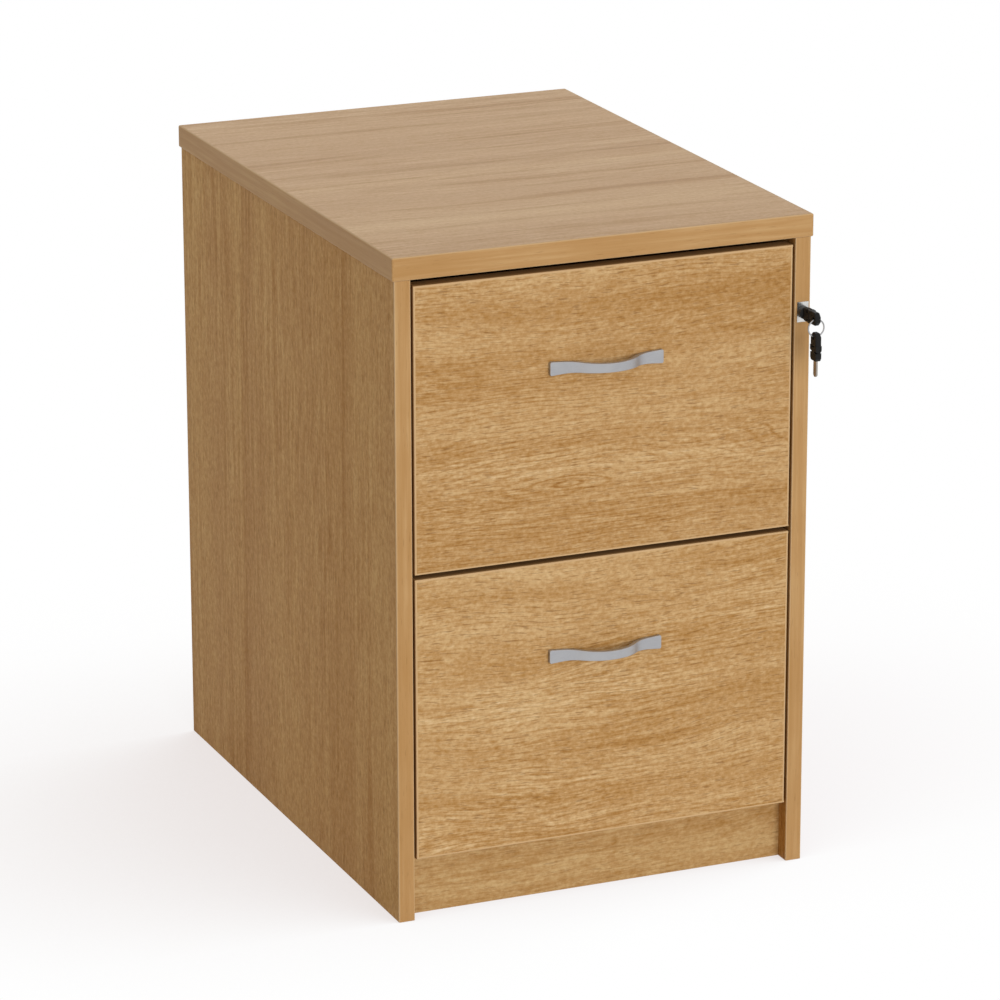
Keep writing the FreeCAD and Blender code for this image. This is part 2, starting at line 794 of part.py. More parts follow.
def file_rail(sign, drawer):
    """A steel strip folded over the top of the drawer's side, with a lip that files hang on."""
    points = [("box_inner - rail_sheet", "rail_lip"), ("box_inner - rail_sheet", "-rail_leg"),
              ("box_inner", "-rail_leg"), ("box_inner", "0"), ("box_half", "0"), ("box_half", "-rail_leg"),
              ("box_half + rail_sheet", "-rail_leg"), ("box_half + rail_sheet", "rail_sheet"),
              ("box_inner", "rail_sheet"), ("box_inner", "rail_lip")]
    outline = [(mirrored(sign, a), b) for a, b in points]
    return prism("XZ_Plane", outline, "box_length - box_board",
                 ("0", "front_rear", f"{drawer}_front + box_rise + box_height"), True)


def make_drawer(drawer):
    bottom = f"{drawer}_front + box_rise"
    front_holes = []
    back_holes = []
    fittings = []
    screws = list(inner_screws[drawer])
    for side, sign in SIDES.items():
        tools = side_holes[drawer, side]
        inward = "-x" if sign > 0 else "x"
        outward = "x" if sign > 0 else "-x"
        inner_face = mirrored(sign, "box_inner")
        board_middle = mirrored(sign, "box_half - box_board / 2")
        tools.append(box(("groove_depth", "box_length - box_board", "base_thickness + 2 * groove_clearance"),
                         (span(sign, "box_inner", "box_inner + groove_depth"), "front_rear",
                          f"{bottom} + base_rise - groove_clearance")))
        for share in BOX_FITTINGS:
            height = f"{bottom} + box_height * {share}"
            cam_at = (inner_face, "front_rear + cam_fitting_inset", height)
            bolt_at = (board_middle, "front_rear - bolt_bite", height)
            length = "cam_fitting_inset + bolt_bite - cam_fitting_radius - bolt_gap"
            fittings.append(rod("cam_fitting_radius", "box_cam_depth", cam_at, outward))
            fittings.append(rod("bolt_radius", length, bolt_at, "y"))
            tools.append(rod("cam_fitting_radius + fitting_clearance", "box_cam_depth", cam_at, outward))
            tools.append(rod("bolt_radius + fitting_clearance", length, bolt_at, "y"))
            front_holes.append(rod("bolt_radius + fitting_clearance", length, bolt_at, "y"))
            screw_at = (mirrored(sign, "box_half"), "box_end - box_board / 2", height)
            sizes = ("screw_radius", "screw_head_radius", "screw_head", "back_screw_length")
            screws.append(flush_screw(*sizes, screw_at, inward))
            tools.append(flush_screw(*sizes, screw_at, inward))
            back_holes.append(rod("screw_radius", "back_screw_length", screw_at, inward))
        core = box(("box_board", "box_length", "box_height"),
                   (span(sign, "box_inner", "box_half"), "front_rear", bottom))
        keep(cut(core, tools), f"{drawer}_drawer_{side}_side")
    back = box(("2 * box_inner", "box_board", "box_height"), ("-box_inner", "box_end - box_board", bottom))
    keep(cut(back, back_holes), f"{drawer}_drawer_back")
    reach = "box_inner + groove_depth - groove_clearance"
    keep(box((f"2 * ({reach})", "box_length - box_board", "base_thickness"),
             (f"-({reach})", "front_rear", f"{bottom} + base_rise")), f"{drawer}_drawer_base")
    keep(group([file_rail(sign, drawer) for sign in SIDES.values()]), f"{drawer}_file_rails")
    keep(group(fittings), f"{drawer}_drawer_cams")
    keep(group(screws), f"{drawer}_drawer_screws")

    handle_z = f"{drawer}_front + front_height - handle_drop"
    handle = bow_handle(("0", "front_face", f"{handle_z} - handle_height / 2"))
    handle_screws = []
    handle_holes = []
    for sign in SIDES.values():
        x = mirrored(sign, "handle_hole")
        head = rod("handle_screw_head", "handle_screw_head_height", (x, "front_rear", handle_z), "y")
        shank = rod("handle_screw_radius", "board + handle_screw_bite + join_depth",
                    (x, "front_face - handle_screw_bite", handle_z), "y")
        handle_screws.append(fuse([head, shank]))
        handle_holes.append(rod("handle_screw_radius + turning_clearance", "handle_screw_bite + join_depth",
                                (x, "front_face - handle_screw_bite", handle_z), "y"))
        front_holes.append(rod("handle_screw_radius + handle_screw_clearance", "board",
                               (x, "front_face", handle_z), "y"))
    keep(cut(handle, handle_holes), f"{drawer}_handle")
    keep(group(handle_screws), f"{drawer}_handle_screws")

    front = box(("2 * (front_half - edging)", "board", "front_height - 2 * edging"),
                ("-(front_half - edging)", "front_face", f"{drawer}_front + edging"))
    keep(cut(front, front_holes), f"{drawer}_front")
    strips = []
    for low in (f"{drawer}_front", f"{drawer}_front + front_height - edging"):
        above = low.endswith("edging")
        strips.append(edge_strip(("2 * front_half", "board", "edging"), ("-front_half", "front_face", low),
                                 "strip_round",
                                 lambda x, y, z: y < NEAR and (z > FAR if above else z < NEAR)))
    for sign in SIDES.values():
        left_end = span(sign, "front_half - edging", "front_half")
        strips.append(edge_strip(("edging", "board", "front_height - 2 * edging"),
                                 (left_end, "front_face", f"{drawer}_front + edging"),
                                 "strip_round",
                                 lambda x, y, z: y < NEAR < z < FAR and (x > FAR if sign > 0 else x < NEAR)))
    keep(group(strips), f"{drawer}_front_edging")

    catch = [("0", "0"), ("catch_reach", "0"), ("catch_reach", "catch_sheet"), ("catch_sheet", "catch_sheet"),
             ("catch_sheet", "catch_length"), ("0", "catch_length")]
    catch_at = ("box_half", "catch_front", f"stop_{drawer} + stop_pin_radius + stop_gap")
    keep(prism("XY_Plane", catch, "catch_height", catch_at), f"{drawer}_lock_catch")


for drawer in DRAWERS:
    make_drawer(drawer)


# Lock: housing, turning plug, crank, and the bar that it lifts.

housing = box(("housing_width", "housing_depth + housing_proud", "housing_height"),
              ("lock_x - housing_width / 2", "front_plane - housing_proud", "lock_z - housing_height / 2"))
bore = rod("housing_bore", "housing_depth + housing_proud",
           ("lock_x", "front_plane - housing_proud", "lock_z"), "y")
keep(cut(housing, [bore]), "lock_housing")

shaft = rod("housing_bore - turning_clearance", "housing_depth + housing_proud + collar_gap",
            ("lock_x", "front_plane - housing_proud - collar_gap", "lock_z"), "y")
collar = rod("collar_radius", "collar_length - housing_proud - collar_gap",
             ("lock_x", "front_plane - collar_length", "lock_z"), "y")
keyway = box(("blade_thickness + 2 * keyway_clearance", "blade_length + keyway_spare",
              "blade_width + 2 * keyway_clearance"),
             ("lock_x - blade_thickness / 2 - keyway_clearance", "front_plane - collar_length",
              "lock_z - blade_width / 2 - keyway_clearance"))
keep(cut(fuse([shaft, collar]), [keyway]), "lock_plug")

disc = rod("cam_radius", "cam_disc", ("lock_x", "housing_rear", "lock_z"), "y")
crank = rod("crank_pin", "crank_pin_length + cam_disc",
            ("lock_x + crank_side", "housing_rear", "tab_middle"), "y")
keep(fuse([disc, crank]), "lock_crank")

strip = box(("bar_thickness", "bar_width", "bar_top - bar_bottom"), ("bar_face", "bar_front", "bar_bottom"))
tab = box(("lock_x + crank_radius + crank_pin - bar_face", "tab_thickness", "2 * tab_half_height"),
          ("bar_face", "tab_front", "tab_middle - tab_half_height"))
slot = box(("2 * crank_radius + crank_pin", "tab_thickness", "2 * (crank_pin + slot_clearance)"),
           ("lock_x + crank_side - crank_pin - slot_clearance", "tab_front",
            "tab_middle - crank_pin - slot_clearance"))
stops = ("stop_upper", "stop_lower")
stop_holes = [rod("stop_peg_radius", "bar_thickness", ("bar_face", "bar_middle", z), "x") for z in stops]
keep(cut(fuse([strip, tab]), [slot] + stop_holes), "lock_bar")
stop_pins = []
for z in stops:
    peg = rod("stop_peg_radius", "bar_thickness + join_depth",
              ("bar_face - join_depth", "bar_middle", z), "x")
    pin = rod("stop_pin_radius", "stop_pin_length", ("bar_face - stop_pin_length", "bar_middle", z), "x")
    stop_pins.append(fuse([peg, pin]))
keep(group(stop_pins), "lock_bar_pins")
keep(group(guides), "lock_bar_guides")


# Folding keys: blade, holder, hinge pin and bow; drawn with the blade along Y and the bow towards -Y.

def key_pieces(prefix, at, turn):
    half_blade = "blade_width / 2"
    tip = "blade_length - collar_length"
    root = "-(collar_length + blade_root)"
    shoulder = f"{tip} - blade_chamfer"
    blade_points = [(root, f"-{half_blade}"), (shoulder, f"-{half_blade}"),
                    (tip, f"-{half_blade} + blade_chamfer"), (tip, f"{half_blade} - blade_chamfer"),
                    (shoulder, half_blade), (root, half_blade)]
    blade = prism("YZ_Plane", blade_points, "blade_thickness", ("-blade_thickness / 2", "0", "0"))
    pocket = box(("blade_thickness", "blade_root", "blade_width"),
                 ("-blade_thickness / 2", "-(collar_length + blade_root)", f"-{half_blade}"))

    full_width = "-(collar_length + key_shoulder)"
    holder_points = [("-collar_length", "-key_neck / 2"), ("-collar_length", "key_neck / 2"),
                     (full_width, "key_width / 2"), ("-holder_end", "key_width / 2"),
                     ("-holder_end", "-key_width / 2"), (full_width, "-key_width / 2")]
    holder = prism("YZ_Plane", holder_points, "key_thickness", ("-key_thickness / 2", "0", "0"))
    thickness = number("key_thickness")

    def on_a_face(middle):
        return min(middle.x, thickness - middle.x) < TOUCH

    holder_back = TOUCH - number("holder_end")
    round_edges(holder, "key_round / 2", lambda edge, middle: on_a_face(middle) and middle.y > holder_back)
    tongue = box(("key_thickness", "knuckle + key_gap + join_depth", "key_tongue"),
                 ("-knuckle", "-key_hinge", "-key_tongue / 2"))
    tongue_knuckle = rod("knuckle", "key_tongue", ("0", "-key_hinge", "-key_tongue / 2"), "z")
    pin_hole = rod("key_pin_radius + pin_clearance", "key_width", ("0", "-key_hinge", "-key_width / 2"), "z")

    corner = "-(bow_end - bow_corner)"
    bow_points = [("-bow_start", "-key_width / 2"), ("-bow_start", "key_width / 2"),
                  (corner, "key_width / 2"), ("-bow_end", "key_width / 2 - bow_corner"),
                  ("-bow_end", "-key_width / 2 + bow_corner"), (corner, "-key_width / 2")]
    bow = prism("YZ_Plane", bow_points, "key_thickness", ("-key_thickness / 2", "0", "0"))
    bow_front = -number("bow_start") - TOUCH
    round_edges(bow, "key_round", lambda edge, middle: on_a_face(middle) and middle.y < bow_front)
    prong_width = "(key_width - key_tongue) / 2 - key_gap"
    prongs = []
    for low in ("-key_width / 2", "key_tongue / 2 + key_gap"):
        prongs.append(box(("key_thickness", "knuckle + key_gap + join_depth", prong_width),
                          ("-knuckle", "-(bow_start + join_depth)", low)))
        prongs.append(rod("knuckle", prong_width, ("0", "-key_hinge", low), "z"))
    prong_hole = rod("key_pin_radius + pin_clearance", "key_width",
                     ("0", "-key_hinge", "-key_width / 2"), "z")
    ring_hole = rod("ring_hole", "key_thickness", ("-knuckle", "-key_reach", "0"), "x")
    pin = rod("key_pin_radius", "key_width - 2 * pin_inset",
              ("0", "-key_hinge", "-key_width / 2 + pin_inset"), "z")

    keep(place(group([blade]), at, turn), f"{prefix}_blade")
    keep(place(cut(fuse([holder, tongue, tongue_knuckle]), [pin_hole, pocket]), at, turn), f"{prefix}_holder")
    keep(place(cut(fuse([bow] + prongs), [prong_hole, ring_hole]), at, turn), f"{prefix}_bow")
    keep(place(group([pin]), at, turn), f"{prefix}_pin")


key_pieces("key", ("lock_x", "front_plane", "lock_z"), FreeCAD.Rotation())
hanging = FreeCAD.Rotation(FreeCAD.Vector(1, 0, 0), -90)
key_pieces("spare_key", ("lock_x", "ring_y", "spare_hole_z - key_reach"), hanging)

ring = doc.addObject("Part::Torus", "ring")
bind(ring, Radius1="ring_radius", Radius2="ring_wire")
keep(place(ring, ("lock_x", "ring_y", "ring_z"), AXIS_TURN["y"]), "key_ring")


# Check every object, then write one file for each sub-part.

doc.recompute()
for thing in doc.Objects:
    if any(word in ("Invalid", "Error") for word in thing.State):
        raise RuntimeError(f"{thing.Label}: {thing.State}")
os.makedirs("parts", exist_ok=True)
for thing in nodes:
    shape = thing.Shape
    if shape.isNull() or not shape.isValid() or not shape.Solids:
        raise RuntimeError(f"{thing.Label}: bad shape")
    shape.exportStep(f"parts/{thing.Label}.step")
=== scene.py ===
from math import radians

import bpy
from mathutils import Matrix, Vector


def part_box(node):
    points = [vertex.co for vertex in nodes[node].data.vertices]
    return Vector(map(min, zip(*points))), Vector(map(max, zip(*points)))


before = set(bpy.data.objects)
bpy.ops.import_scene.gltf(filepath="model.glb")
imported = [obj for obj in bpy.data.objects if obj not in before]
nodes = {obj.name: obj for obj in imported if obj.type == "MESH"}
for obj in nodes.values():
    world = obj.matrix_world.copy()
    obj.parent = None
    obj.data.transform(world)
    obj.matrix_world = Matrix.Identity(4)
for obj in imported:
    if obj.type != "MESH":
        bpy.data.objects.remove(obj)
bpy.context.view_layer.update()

# Two-drawer filing cabinet of oak-effect board: the finish of every piece, the floor, light and camera.
# Lengths are metres in the part's frame: X to the right, Y to the back, Z up.

DRAWERS = ("upper", "lower")
AXES = "XYZ"
WHITE = (1.0, 1.0, 1.0, 1.0)


# Short calls for building node trees.

def linear(red, green, blue):
    """A colour of three numbers from 0 to 255, as the linear colour that shaders take."""
    def one(value):
        share = value / 255
        return share / 12.92 if share <= 0.04045 else ((share + 0.055) / 1.055) ** 2.4
    return (one(red), one(green), one(blue), 1.0)


class Tree:
    """The node tree of a material or of the world."""

    def __init__(self, owner):
        self.owner = owner
        owner.use_nodes = True
        self.nodes = owner.node_tree.nodes
        self.links = owner.node_tree.links
        self.nodes.clear()

    def node(self, kind, inputs=None, **settings):
        made = self.nodes.new("ShaderNode" + kind)
        for name, value in settings.items():
            setattr(made, name, value)
        for name, value in (inputs or {}).items():
            self.feed(made.inputs[name], value)
        return made

    def feed(self, socket, value):
        if isinstance(value, bpy.types.NodeSocket):
            self.links.new(value, socket)
        else:
            socket.default_value = value

    def math(self, operation, first, second=0.0, third=0.0):
        inputs = {0: first, 1: second, 2: third}
        return self.node("Math", inputs, operation=operation).outputs[0]

    def vector(self, operation, first, second):
        return self.node("VectorMath", {0: first, 1: second}, operation=operation).outputs[0]

    def split(self, vector):
        return self.node("SeparateXYZ", {0: vector}).outputs

    def join(self, x, y, z):
        return self.node("CombineXYZ", {0: x, 1: y, 2: z}).outputs[0]

    def noise(self, at, waves, detail=2.0, roughness=0.5):
        """Noise from 0 to 1, with the given number of waves per metre along each axis."""
        inputs = {"Vector": self.vector("MULTIPLY", at, waves), "Scale": 1.0, "Detail": detail,
                  "Roughness": roughness}
        return self.node("TexNoise", inputs).outputs[0]

    def lean(self, onto, value, share):
        """onto, moved by at most half of share either way as a noise goes from 0 to 1."""
        return self.math("MULTIPLY_ADD", self.math("SUBTRACT", value, 0.5), share, onto)

    def remap(self, value, low, high, start=0.0, end=1.0, shape="LINEAR"):
        """A number that goes from start to end as value goes from low to high."""
        inputs = {"Value": value, "From Min": low, "From Max": high, "To Min": start, "To Max": end}
        return self.node("MapRange", inputs, interpolation_type=shape).outputs[0]

    def smooth(self, value, low, high, start=0.0, end=1.0):
        """An S-shaped step from start to end as value goes from low to high."""
        return self.remap(value, low, high, start, end, "SMOOTHSTEP")

    def between(self, share, first, second):
        return self.node("Mix", {0: share, 2: first, 3: second}, data_type="FLOAT").outputs[0]

    def blend(self, share, first, second, mode="MIX"):
        made = self.node("Mix", data_type="RGBA", blend_type=mode)
        for socket, value in ((made.inputs[0], share), (made.inputs[6], first), (made.inputs[7], second)):
            self.feed(socket, value)
        return made.outputs[2]

    def ramp(self, value, stops):
        """Colours along a value: stops are pairs of a place from 0 to 1 and a colour."""
        made = self.node("ValToRGB", {0: value})
        elements = made.color_ramp.elements
        while len(elements) < len(stops):
            elements.new(1.0)
        for element, (place, colour) in zip(elements, stops):
            element.position = place
            element.color = colour
        return made.outputs[0]

    def bump(self, height, strength, distance):
        inputs = {"Height": height, "Strength": strength, "Distance": distance}
        return self.node("Bump", inputs).outputs[0]

    def surface(self, colour, roughness, normal, **fixed):
        """Ends the tree with one surface shader; fixed holds sockets that are the same all over."""
        inputs = {"Base Color": colour, "Roughness": roughness, "Normal": normal}
        shader = self.node("BsdfPrincipled", inputs)
        for name, value in fixed.items():
            shader.inputs[name.replace("_", " ")].default_value = value
        self.node("OutputMaterial", {"Surface": shader.outputs[0]})
        return self.owner

    def place(self):
        """The point's place on its own piece, in metres."""
        return self.node("TexCoord").outputs["Object"]

    def seen(self):
        """1 for rays from the camera, reflections and glass, 0 for the light that falls on the part."""
        path = self.node("LightPath").outputs
        seen = self.math("MAXIMUM", path["Is Camera Ray"], path["Is Glossy Ray"])
        return self.math("MAXIMUM", seen, path["Is Transmission Ray"])


def material_tree(name):
    return Tree(bpy.data.materials.new(name))


def even(waves):
    """The same number of waves along each axis."""
    return (waves, waves, waves)


# Oak effect: streaks and flecks along a wandering grain, thin ring lines about a heart, pores, broad tones.

OAK_DEEP = linear(149, 98, 44)
OAK_DARK = linear(171, 124, 67)
OAK_MAIN = linear(188, 145, 94)
OAK_PALE = linear(205, 167, 117)
OAK_LIGHT = linear(222, 190, 147)
OAK_PORE = linear(118, 76, 34)
BOARD_TONES = ((0.0, OAK_DEEP), (0.28, OAK_DARK), (0.5, OAK_MAIN), (0.72, OAK_PALE), (1.0, OAK_LIGHT))
MIDDLE_TONE = 0.5

# Layers of the pattern: waves per metre along the grain, across it and through the board, then the noise's
# detail and, where it isn't the usual one, its roughness. The stripes have waves across the grain only.
SWAY = ((2.4, 7.0, 5.0), 2.0)
WOBBLE = ((8.0, 40.0, 20.0), 2.0)
RING_SPACING = ((5.0, 40.0, 20.0), 2.0)
RING_PATCHES = ((3.5, 16.0, 5.0), 2.0)
STREAKS = ((9.0, 210.0, 210.0), 4.0, 0.62)
FLECKS = ((42.0, 360.0, 360.0), 3.0, 0.6)
THREADS = ((40.0, 580.0, 580.0), 3.0, 0.6)
CURLY_PATCHES = ((4.0, 13.0, 6.0), 2.0)
STRONG_PATCHES = ((2.5, 9.0, 5.0), 2.0)
BROAD_TONES = ((1.3, 22.0, 6.0), 2.0)
SPOTS = ((200.0, 250.0, 200.0), 2.0, 0.6)
VEINS = ((5.0, 90.0, 90.0), 3.0, 0.6)
FINE_PORES = ((100.0, 1500.0, 1500.0), 1.0)
COARSE_PORES = ((60.0, 700.0, 700.0), 1.0)
STRIPES = 24.0
SEED_STEP = (3.7, 1.3, 2.1)

# Where a layer's noise begins and ends to show as a patch, vein or pore.
RING_PATCH_EDGE = (0.42, 0.62)
CURLY_EDGE = (0.45, 0.6)
STRONG_EDGE = (0.38, 0.62)
VEIN_EDGE = (0.54, 0.72)
FINE_PORE_EDGE = (0.6, 0.72)
COARSE_PORE_EDGE = (0.6, 0.7)

# Rings per metre, how many of them they wander by, half a line's width as a share of their spacing, and the
# radii where the eye at the heart begins and ends to fade.
RINGS = 210.0
RING_WANDER = 3.0
RING_LINE = 0.2
EYE_RADII = (0.005, 0.014)
EYE_STRENGTH = 1.8

# How much of the fibre's tone each layer gives, and how faint and how strong the fibre is in patches.
STREAK_SHARE = 0.8
FLECK_SHARE = 0.3
THREAD_SHARE = 0.5
CURLY_SHARE = 0.75
FAINT, STRONG = 0.5, 1.4
FINE_PORE_DEPTH = 0.6

# Relief and sheen of the board's face.
FLECK_HEIGHT = 0.35
BOARD_BUMP = 0.2
RELIEF = 0.0002
BOARD_SHEEN = (0.2, 1.6)
BOARD_ROUGHNESS = (0.42, 0.58)


def grain_space(tree, along, across):
    """The point's place as (along the grain, across the grain, through the board)."""
    parts = tree.split(tree.place())
    through = next(axis for axis in AXES if axis not in (along, across))
    return tree.join(parts[along], parts[across], parts[through])


def ring_lines(tree, at, flow, middle, close):
    """1 on thin lines round the middle, 0 between them. They show in patches, and most at the middle."""
    u, v, _ = tree.split(flow)
    off_along = tree.math("MULTIPLY", tree.math("SUBTRACT", u, middle[0]), close)
    off_across = tree.math("SUBTRACT", v, middle[1])
    radius = tree.math("SQRT", tree.math("MULTIPLY_ADD", off_along, off_along,
                                         tree.math("MULTIPLY", off_across, off_across)))
    count = tree.lean(tree.math("MULTIPLY", radius, RINGS), tree.noise(flow, *RING_SPACING), RING_WANDER)
    line = tree.smooth(tree.math("PINGPONG", count, 0.5), 0.0, RING_LINE, 1.0, 0.0)
    patch = tree.smooth(tree.noise(at, *RING_PATCHES), *RING_PATCH_EDGE)
    eye = tree.smooth(radius, *EYE_RADII, EYE_STRENGTH, 0.0)
    return tree.math("MULTIPLY", line, tree.math("MAXIMUM", patch, eye))


def open_pores(tree, flow, stretch):
    """1 in the dark pores, 0 between them. They keep their size where the pattern is stretched."""
    real = tree.vector("MULTIPLY", flow, stretch)
    fine = tree.smooth(tree.noise(real, *FINE_PORES), *FINE_PORE_EDGE, 0.0, FINE_PORE_DEPTH)
    coarse = tree.smooth(tree.noise(real, *COARSE_PORES), *COARSE_PORE_EDGE)
    return tree.math("MAXIMUM", fine, coarse)


def oak(name, along, across, seed, size=(1.0, 1.0), heart=(2.0, 0.0), close=0.12, sway=0.04, wobble=0.003,
        contrast=1.0, mottle=0.7, waves=0.9, lines=0.14, veins=0.0, bands=0.0, pores=0.5, tint=WHITE,
        gloss=0.2):
    """Oak-effect board. along and across are the grain's axes, and seed picks a stretch of the pattern.
    size stretches the grain along and across it, heart is the middle of the rings, close how fast they shut
    along the grain, and sway and wobble how far it wanders. mottle, waves, lines, veins, bands and pores are
    the shares of small spots, broad tones, ring lines, long dark veins, straight stripes and dark pores."""
    tree = material_tree(name)
    stretch = (size[0], size[1], 1.0)
    shift = tuple(seed * step for step in SEED_STEP)
    own = grain_space(tree, along, across)
    at = tree.vector("ADD", tree.vector("DIVIDE", own, stretch), shift)
    u, v, w = tree.split(at)
    bent = tree.lean(tree.lean(v, tree.noise(at, *SWAY), sway), tree.noise(at, *WOBBLE), wobble)
    flow = tree.join(u, bent, w)

    streaks = tree.noise(flow, *STREAKS)
    flecks = tree.noise(flow, *FLECKS)
    curly = tree.smooth(tree.noise(at, *CURLY_PATCHES), *CURLY_EDGE, 0.0, CURLY_SHARE)
    fibre = tree.lean(0.0, tree.between(curly, streaks, flecks), STREAK_SHARE)
    fibre = tree.lean(fibre, flecks, FLECK_SHARE)
    fibre = tree.lean(fibre, tree.noise(flow, *THREADS), THREAD_SHARE)
    strong = tree.smooth(tree.noise(at, *STRONG_PATCHES), *STRONG_EDGE, FAINT * contrast, STRONG * contrast)
    broad = tree.noise(flow, *BROAD_TONES)
    middle = (heart[0] / size[0] + shift[0], heart[1] / size[1] + shift[1])
    line = ring_lines(tree, at, flow, middle, close)

    tone = tree.math("MULTIPLY_ADD", fibre, strong, MIDDLE_TONE)
    tone = tree.lean(tone, broad, waves * contrast)
    tone = tree.lean(tone, tree.noise(own, *SPOTS), mottle)
    tone = tree.math("MULTIPLY_ADD", line, -lines * contrast, tone)
    if veins:
        vein = tree.smooth(tree.noise(flow, *VEINS), *VEIN_EDGE)
        tone = tree.math("MULTIPLY_ADD", vein, -veins, tone)
    if bands:
        stripe = tree.node("TexVoronoi", {"W": bent, "Scale": STRIPES}, voronoi_dimensions="1D")
        stripe_tone = tree.node("SeparateColor", {0: stripe.outputs["Color"]}).outputs[0]
        tone = tree.lean(tone, stripe_tone, bands)

    pore = open_pores(tree, flow, stretch)
    colour = tree.blend(tree.math("MULTIPLY", pore, pores), tree.ramp(tone, BOARD_TONES), OAK_PORE)
    colour = tree.blend(1.0, colour, tint, "MULTIPLY")
    height = tree.math("SUBTRACT", tree.math("MULTIPLY", flecks, FLECK_HEIGHT), pore)
    roughness = tree.remap(tree.math("ADD", broad, pore), *BOARD_SHEEN, *BOARD_ROUGHNESS)
    return tree.surface(colour, roughness, tree.bump(height, BOARD_BUMP, RELIEF), Specular_IOR_Level=gloss)


# Edging: thin strips of the same oak effect, with a painted highlight on their rims and painted shade in the
# gap behind them. Streaks and threads have waves per metre along a strip and across it, then the noise's
# detail and roughness.

STRIP_TONES = ((0.1, OAK_DARK), (0.5, OAK_MAIN), (0.75, OAK_PALE), (0.95, OAK_LIGHT))
STRIP_TONE = 0.49
STRIP_STREAKS = (7.0, 240.0, 4.0, 0.6)
STRIP_STREAK_SHARE = 0.6
STRIP_THREADS = (60.0, 1300.0, 1.0, 0.6)
STRIP_CLOUDS = (even(9.0), 3.0)
STRIP_CLOUD_SHARE = 0.45
STRIP_SHEEN = (0.2, 0.8)
STRIP_PORE_EDGE = (0.66, 0.76)
STRIP_PORES = 0.3
STRIP_BUMP = 0.15
STRIP_ROUGHNESS = (0.4, 0.52)
STRIP_GLOSS = 0.12
# Painted highlight: a pale line along the strips' rims, where a rounded edge would catch the light.
PAINTED_RIM_HIGHLIGHT = linear(230, 200, 156)
RIM_HIGHLIGHT_WIDTH = (0.0003, 0.0015)
RIM_HIGHLIGHT_SHARE = 0.45
# Painted shade: the strips darken towards the back of the narrow gap behind a drawer front.
PAINTED_GAP_SHADE = linear(96, 66, 36)
GAP_SHADE_DEPTH = (0.0015, 0.006)
GAP_SHADE_SHARE = 0.45


def edging(name, along, rims, end_axis=None, end_at=0.0, end_along=None, joint=None):
    """Strips whose grain follows them: those beyond end_at on end_axis run along end_along, the rest along.
    Each rim is an axis and a distance on it, along which a pale line is painted as a highlight. Painted
    shade for the gap starts a little behind joint, a place on Y."""
    tree = material_tree(name)
    place = tree.place()
    parts = tree.split(place)

    def fibres(direction, long, cross, detail, roughness):
        waves = tuple(long if axis == direction else cross for axis in AXES)
        return tree.noise(place, waves, detail, roughness)

    def layer(values):
        first = fibres(along, *values)
        if end_along is None:
            return first
        beyond = tree.math("GREATER_THAN", tree.math("ABSOLUTE", parts[end_axis]), end_at)
        return tree.between(beyond, first, fibres(end_along, *values))

    streaks = layer(STRIP_STREAKS)
    clouds = tree.noise(place, *STRIP_CLOUDS)
    tone = tree.lean(tree.lean(STRIP_TONE, streaks, STRIP_STREAK_SHARE), clouds, STRIP_CLOUD_SHARE)
    pore = tree.smooth(layer(STRIP_THREADS), *STRIP_PORE_EDGE)
    colour = tree.blend(tree.math("MULTIPLY", pore, STRIP_PORES), tree.ramp(tone, STRIP_TONES), OAK_PORE)
    # Painted highlight: a pale line along each rim.
    for axis, level in rims:
        off = tree.math("ABSOLUTE", tree.math("SUBTRACT", tree.math("ABSOLUTE", parts[axis]), level))
        colour = tree.blend(tree.smooth(off, *RIM_HIGHLIGHT_WIDTH, RIM_HIGHLIGHT_SHARE, 0.0), colour, PAINTED_RIM_HIGHLIGHT)
    # Painted shade: darker the deeper the point lies in the gap behind the front's face.
    if joint is not None:
        near, far = GAP_SHADE_DEPTH
        gap_shade = tree.smooth(parts["Y"], joint + near, joint + far, 0.0, GAP_SHADE_SHARE)
        colour = tree.blend(gap_shade, colour, PAINTED_GAP_SHADE)
    normal = tree.bump(tree.math("SUBTRACT", streaks, pore), STRIP_BUMP, RELIEF)
    roughness = tree.remap(clouds, *STRIP_SHEEN, *STRIP_ROUGHNESS)
    return tree.surface(colour, roughness, normal, Specular_IOR_Level=STRIP_GLOSS)


# Metal, plastic and dowel wood.

METAL_CLOUDS = (even(45.0), 4.0)
METAL_SPECKS = (even(700.0), 2.0)
SPECK_EDGE = (0.62, 0.8)
SPECK_SHARE = 0.25
SCRATCHES = 1800.0
BRUSHED_ALONG, BRUSHED_ACROSS = 60.0, 2600.0
SCRATCH_SHARE = 0.4
WORN_EDGE = (0.35, 0.65)
METAL_RELIEF = 0.0001
SCUFFS = ((120.0, 300.0, 120.0), 4.0, 0.7)
SCUFF_EDGE = (0.6, 0.75)
SCUFF_SHARE = 0.5
SCUFF_ROUGHNESS = 0.1
SKIN_BUMP = 0.12
DOWEL_FIBRES = (even(300.0), 4.0)
DOWEL_TONES = ((0.3, linear(190, 150, 105)), (0.7, linear(222, 190, 148)))
DOWEL_ROUGHNESS = (0.5, 0.7)
DOWEL_BUMP = 0.3
NOISE_RANGE = (0.3, 0.7)


def metal(name, main, worn, roughness, brushed=None, grain=0.1):
    """Plated or coated metal with slow clouding, fine scratches and, if brushed, lines along one axis."""
    tree = material_tree(name)
    place = tree.place()
    waves = even(SCRATCHES)
    if brushed:
        waves = tuple(BRUSHED_ALONG if axis == brushed else BRUSHED_ACROSS for axis in AXES)
    lines = tree.noise(place, waves)
    mixed = tree.between(SCRATCH_SHARE, tree.noise(place, *METAL_CLOUDS), lines)
    speck = tree.smooth(tree.noise(place, *METAL_SPECKS), *SPECK_EDGE, 0.0, SPECK_SHARE)
    colour = tree.blend(tree.smooth(mixed, *WORN_EDGE), worn, main)
    colour = tree.blend(speck, colour, worn)
    rough = tree.remap(mixed, *NOISE_RANGE, *roughness)
    return tree.surface(colour, rough, tree.bump(lines, grain, METAL_RELIEF), Metallic=1.0)


